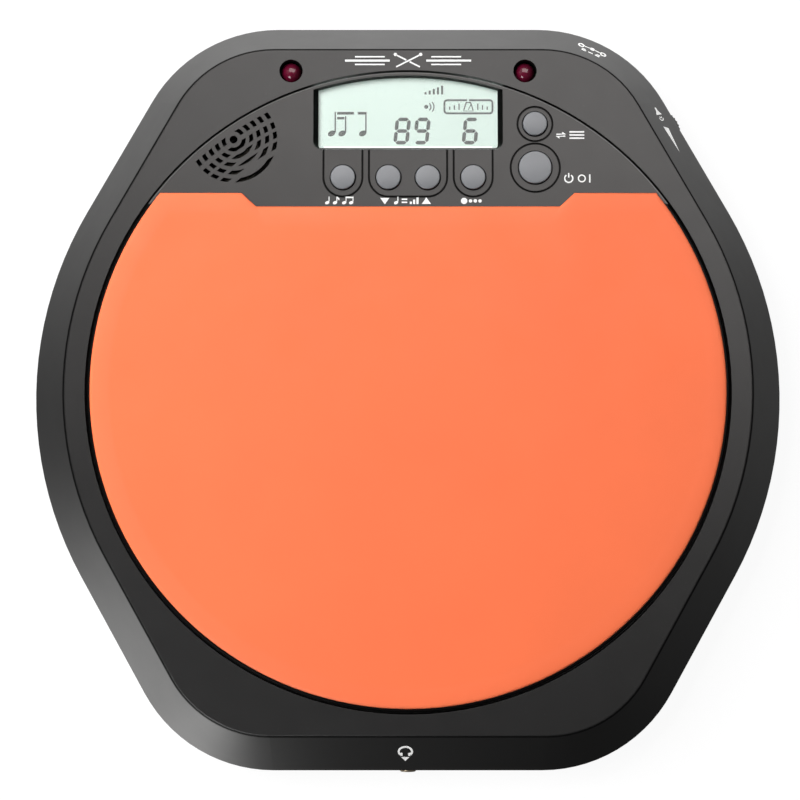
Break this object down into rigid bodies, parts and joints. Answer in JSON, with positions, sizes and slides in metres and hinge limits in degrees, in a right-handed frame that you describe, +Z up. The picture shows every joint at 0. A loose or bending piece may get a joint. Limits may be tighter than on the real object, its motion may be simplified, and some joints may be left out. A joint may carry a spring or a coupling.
{
  "type": "practice pad",
  "caption": "Electronic practice pad with a silicone striking surface, bevelled shell, display and key panel, speaker, volume wheel, headphone and power sockets and battery door.",
  "frame": {"origin": "centre of the footprint, on the table under the rubber feet", "axes": "+X to the right, +Y towards the control panel, +Z up"},
  "size_m": [0.274, 0.2751, 0.04],
  "materials": {
    "shell_black": "fine-grained moulded ABS",
    "panel_black": "fine-grained moulded ABS, slightly lighter than the shell",
    "pad_orange": "smooth matte silicone",
    "adhesive": "double-sided sheet",
    "lens_clear": "clear acrylic",
    "lcd": "pale green-grey reflective display",
    "light_guide": "milky",
    "frame_plastic": "moulded",
    "conductive_rubber": "carbon loaded",
    "board_green": "solder mask on glass epoxy",
    "component_black": "moulded",
    "mat_grey": "silicone",
    "key_grey": "satin moulded",
    "led_red": "tinted diffused epoxy",
    "steel": "zinc plated",
    "cone_paper": "pressed paper",
    "magnet": "plated",
    "foam": "closed-cell foam",
    "foam_white": "closed-cell foam",
    "wheel_black": "moulded with ridges",
    "nickel": "nickel plated",
    "brass": "bare",
    "ceramic": "fired, silvered",
    "cell_wrap": "plain printed sleeve",
    "wire_red": "PVC",
    "wire_black": "PVC",
    "wire_grey": "PVC",
    "foot_rubber": "moulded"
  },
  "bodies": {
    "shell": {"top_housing": "shell_black", "bottom_housing": "shell_black", "deck_plate": "panel_black", "strike_pad": "pad_orange", "pad_adhesive": "adhesive", "lcd_window": "lens_clear", "lcd_glass": "lcd", "lcd_backlight": "light_guide", "lcd_frame": "frame_plastic", "zebra_strip": "conductive_rubber", "main_board": "board_green", "board_components": "component_black", "keypad_mat": "mat_grey", "led_left": "led_red", "led_right": "led_red", "led_boards": "board_green", "speaker_frame": "steel", "speaker_cone": "cone_paper", "speaker_magnet": "magnet", "speaker_gasket": "foam", "speaker_clamp": "frame_plastic", "volume_pot": "frame_plastic", "volume_board": "board_green", "dc_jack": "component_black", "dc_pin": "nickel", "headphone_jack": "component_black", "audio_board": "board_green", "piezo_disc": "brass", "piezo_ceramic": "ceramic", "sensor_foam": "foam_white", "support_pads": "foam", "battery_cells": "cell_wrap", "battery_springs": "steel", "battery_contacts": "nickel", "battery_cable": "wire_red", "sensor_cable": "wire_black", "speaker_cable": "wire_red", "audio_cable": "wire_grey", "power_cable": "wire_red", "led_cable": "wire_grey", "volume_cable": "wire_grey", "rubber_feet": "foot_rubber", "housing_screws": "steel", "deck_screws": "steel", "small_screws": "steel"},
    "rhythm_key": {"key_rhythm": "key_grey", "pill_rhythm": "conductive_rubber"},
    "tempo_down_key": {"key_tempo_down": "key_grey", "pill_tempo_down": "conductive_rubber"},
    "tempo_up_key": {"key_tempo_up": "key_grey", "pill_tempo_up": "conductive_rubber"},
    "beat_key": {"key_beat": "key_grey", "pill_beat": "conductive_rubber"},
    "mode_key": {"key_mode": "key_grey", "pill_mode": "conductive_rubber"},
    "power_key": {"key_power": "key_grey", "pill_power": "conductive_rubber"},
    "thumbwheel": {"volume_wheel": "wheel_black"},
    "door": {"battery_door": "shell_black"}
  },
  "joints": [
    {"name": "rhythm_key_press", "type": "slide", "parent": "shell", "child": "rhythm_key", "axis": [0, 0, -1], "range_m": [0, 0.0012], "deforming": ["keypad_mat"]},
    {"name": "tempo_down_key_press", "type": "slide", "parent": "shell", "child": "tempo_down_key", "axis": [0, 0, -1], "range_m": [0, 0.0012], "deforming": ["keypad_mat"]},
    {"name": "tempo_up_key_press", "type": "slide", "parent": "shell", "child": "tempo_up_key", "axis": [0, 0, -1], "range_m": [0, 0.0012], "deforming": ["keypad_mat"]},
    {"name": "beat_key_press", "type": "slide", "parent": "shell", "child": "beat_key", "axis": [0, 0, -1], "range_m": [0, 0.0012], "deforming": ["keypad_mat"]},
    {"name": "mode_key_press", "type": "slide", "parent": "shell", "child": "mode_key", "axis": [0, 0, -1], "range_m": [0, 0.0012], "deforming": ["keypad_mat"]},
    {"name": "power_key_press", "type": "slide", "parent": "shell", "child": "power_key", "axis": [0, 0, -1], "range_m": [0, 0.0012], "deforming": ["keypad_mat"]},
    {"name": "volume_turn", "type": "hinge", "parent": "shell", "child": "thumbwheel", "pos_m": [0.09279, 0.0982, 0.0096], "axis": [0, 0, 1], "range_deg": [-140, 140]},
    {"name": "battery_door_hinge", "type": "hinge", "parent": "shell", "child": "door", "pos_m": [0, 0.0022, 0.00335], "axis": [1, 0, 0], "range_deg": [0, 80]}
  ]
}
